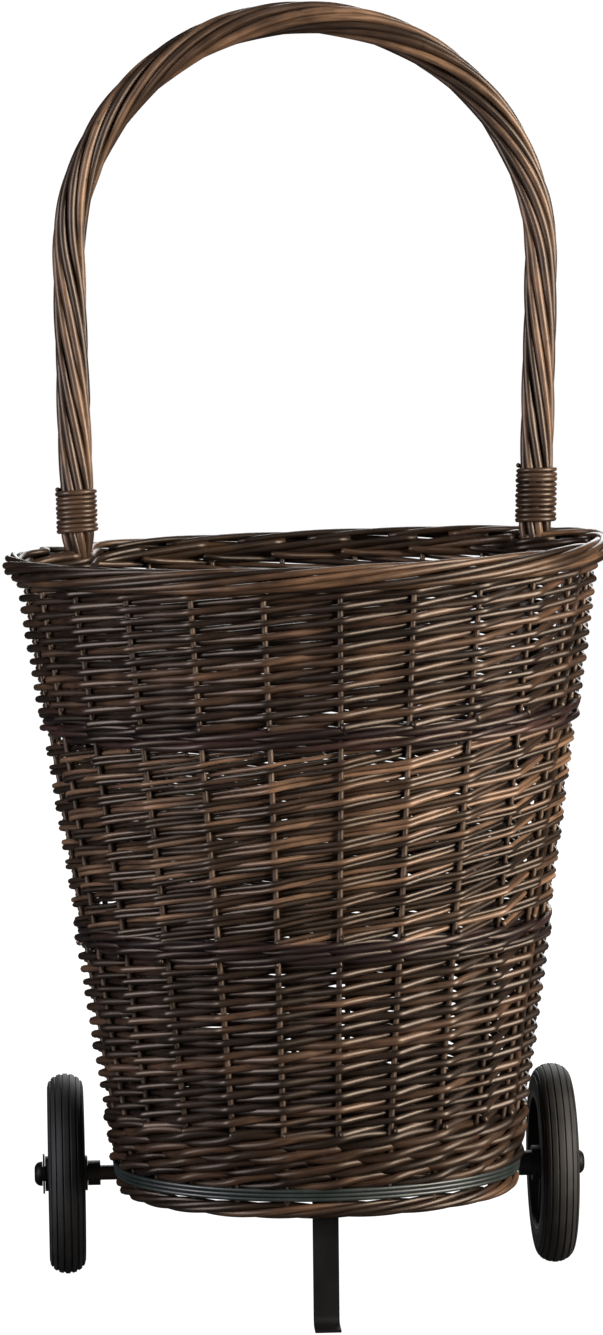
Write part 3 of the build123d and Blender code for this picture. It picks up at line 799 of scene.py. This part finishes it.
def bump_height(tree, shader, height, strength, distance):
    made = node(tree, "ShaderNodeBump", Strength=strength, Distance=distance)
    tree.links.new(height, made.inputs["Height"])
    tree.links.new(made.outputs["Normal"], shader.inputs["Normal"])


# %% Willow material
def willow(name, dark, middle, light, shine):
    """Rod tone picks between three stains; streaks and patches darken or lift it."""
    material, tree, shader = new_material(name)
    tone = node(tree, "ShaderNodeAttribute", attribute_name="tone").outputs["Fac"]
    uv = node(tree, "ShaderNodeUVMap", uv_map="along_rod").outputs["UV"]
    place = node(tree, "ShaderNodeTexCoord").outputs["Object"]
    # a new ramp has two stops already, so the end ones come first and the middle one is added
    base = ramp(tree, tone, [(0.0, dark), (1.0, light), (0.55, middle)])
    streak = stretched_noise(tree, uv, (40, 9, 1), 5)
    patch = stretched_noise(tree, place, (26, 26, 40), 3)
    spot = stretched_noise(tree, uv, (85, 1.5, 1), 2)
    shade = ramp(tree, streak, [(0.30, (0.42, 0.40, 0.38)), (0.68, (1.35, 1.30, 1.25))])
    stain = ramp(tree, patch, [(0.34, (0.45, 0.42, 0.42)), (0.66, (1.25, 1.22, 1.18))])
    bud = ramp(tree, spot, [(0.24, (0.25, 0.2, 0.18)), (0.32, (1, 1, 1))])
    colour = mix(tree, "MULTIPLY", 1.0, base, shade)
    colour = mix(tree, "MULTIPLY", 1.0, colour, stain)
    colour = mix(tree, "MULTIPLY", 0.8, colour, bud)
    tree.links.new(colour, shader.inputs["Base Color"])
    rough = node(tree, "ShaderNodeMapRange")
    rough.inputs["To Min"].default_value = 0.28
    rough.inputs["To Max"].default_value = 0.52
    tree.links.new(streak, rough.inputs["Value"])
    tree.links.new(rough.outputs["Result"], shader.inputs["Roughness"])
    shader.inputs["Specular IOR Level"].default_value = shine
    shader.inputs["Specular Tint"].default_value = (1.0, 0.84, 0.70, 1)
    bump_height(tree, shader, streak, 0.35, 0.0006)
    return material


# for each finish: its name, then its dark, middle and light stain
stains = {
    "weave": ("washed_willow", (0.004, 0.002, 0.0015), (0.012, 0.0066, 0.0042), (0.044, 0.025, 0.0155)),
    "slewing": ("washed_thin_willow", (0.006, 0.0034, 0.002), (0.022, 0.013, 0.0082), (0.115, 0.070, 0.044)),
    "base": ("foot_willow", (0.003, 0.0016, 0.0011), (0.008, 0.0045, 0.003), (0.030, 0.017, 0.0105)),
    "wale": ("dark_willow", (0.004, 0.002, 0.003), (0.009, 0.005, 0.0055), (0.024, 0.012, 0.011)),
    "border": ("border_willow", (0.006, 0.003, 0.002), (0.016, 0.009, 0.0053), (0.066, 0.038, 0.022)),
    "stake": ("stake_willow", (0.012, 0.008, 0.006), (0.030, 0.020, 0.014), (0.060, 0.042, 0.030)),
    "handle": ("handle_willow", (0.009, 0.005, 0.003), (0.032, 0.018, 0.011), (0.090, 0.055, 0.033)),
    "collar": ("collar_willow", (0.012, 0.007, 0.0045), (0.026, 0.015, 0.0095), (0.062, 0.038, 0.024)),
}
shines = {"base": 0.26, "wale": 0.34, "border": 0.36}
finishes = {kind: willow(*stain, shines.get(kind, 0.42)) for kind, stain in stains.items()}
print("willow finishes:", list(finishes))


def finish(piece, material):
    """Give a piece one material in its only slot; a CAD node keeps its slot and changes what is in it."""
    if piece.material_slots:
        for slot in piece.material_slots:
            slot.material = material
    else:
        piece.data.materials.append(material)


finish(stakes, finishes["stake"])
finish(bands["upper_weave"], finishes["weave"])
finish(bands["lower_weave"], finishes["weave"])
finish(bands["middle_weave"], finishes["slewing"])
for piece in wales[:2]:
    finish(piece, finishes["wale"])
finish(wales[2], finishes["base"])
for piece in borders:
    finish(piece, finishes["border"])
finish(handle_rods, finishes["handle"])
for piece in collars:
    finish(piece, finishes["collar"])
finish(floor, finishes["weave"])
finish(sticks, finishes["stake"])

# %% [markdown]
# ## Steel, rubber and plastic
# These pieces keep their CAD shape. Each gets a finish from nodes: powder coat with fine orange peel
# and dusty wear, rubber with a soft bloom, moulded plastic with a faint grain, zinc with a cloudy
# brush. A CAD node has no UV map, so all of them read object coordinates in metres.


# %% Hard finishes
def moulded(name, colour, worn, roughness, grain, bump, metal=0.0, shine=0.5):
    """A base colour with slow cloudy wear, fine grain in the bump and a roughness that follows it."""
    material, tree, shader = new_material(name)
    place = node(tree, "ShaderNodeTexCoord").outputs["Object"]
    cloud = stretched_noise(tree, place, (35, 35, 35), 6)
    fine = stretched_noise(tree, place, (grain, grain, grain), 2)
    tint = ramp(tree, cloud, [(0.35, colour), (0.75, worn)])
    speck = ramp(tree, fine, [(0.3, (0.85, 0.85, 0.85)), (0.7, (1.1, 1.1, 1.1))])
    tree.links.new(mix(tree, "MULTIPLY", 1.0, tint, speck), shader.inputs["Base Color"])
    rough = node(tree, "ShaderNodeMapRange")
    rough.inputs["To Min"].default_value = roughness - 0.08
    rough.inputs["To Max"].default_value = roughness + 0.12
    tree.links.new(cloud, rough.inputs["Value"])
    tree.links.new(rough.outputs["Result"], shader.inputs["Roughness"])
    shader.inputs["Metallic"].default_value = metal
    shader.inputs["Specular IOR Level"].default_value = shine
    bump_height(tree, shader, fine, 0.25, bump)
    return material


BLACK = (0.0015, 0.0015, 0.0015)
DUSTY_BLACK = (0.004, 0.004, 0.004)
hard = {
    "steel": moulded("black_powder_coat", BLACK, DUSTY_BLACK, 0.50, 1400, 0.0002, 0.0, 0.1),
    "tyre": moulded(
        "ribbed_rubber", (0.006, 0.006, 0.006), (0.016, 0.0155, 0.015), 0.60, 900, 0.0003, 0.0, 0.22
    ),
    "hub": moulded("black_moulding", (0.005, 0.005, 0.005), (0.012, 0.012, 0.012), 0.50, 1100, 0.0002),
    "zinc": moulded("zinc_plate", (0.42, 0.42, 0.41), (0.55, 0.54, 0.50), 0.36, 700, 0.0001, 1.0),
    "axle": moulded("blackened_rod", (0.018, 0.013, 0.010), (0.045, 0.030, 0.020), 0.48, 500, 0.0002),
    "wire": moulded(
        "coated_wire", (0.005, 0.008, 0.0075), (0.014, 0.018, 0.017), 0.35, 420, 0.0001, 0.0, 0.4
    ),
    "nylon": moulded("nylon_bush", (0.50, 0.49, 0.45), (0.62, 0.61, 0.57), 0.45, 600, 0.0001),
    "core": moulded("bow_core", (0.020, 0.013, 0.009), (0.060, 0.040, 0.026), 0.60, 120, 0.0006),
}
hard_nodes = {
    "foot_bar": "steel", "axle_hangers": "steel", "axle_washers": "steel", "axle_caps": "steel",
    "axle_spacers": "hub", "left_wheel_hub": "hub", "right_wheel_hub": "hub",
    "left_tyre": "tyre", "right_tyre": "tyre",
    "base_bolts": "zinc", "base_washers": "zinc", "base_nuts": "zinc",
    "axle": "axle", "base_binding_wires": "wire",
    "left_wheel_bush": "nylon", "right_wheel_bush": "nylon",
    "handle_core": "core", "base_long_sticks": "core",
}
for name, kind in hard_nodes.items():
    finish(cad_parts[name], hard[kind])
print("hard nodes", len(hard_nodes))
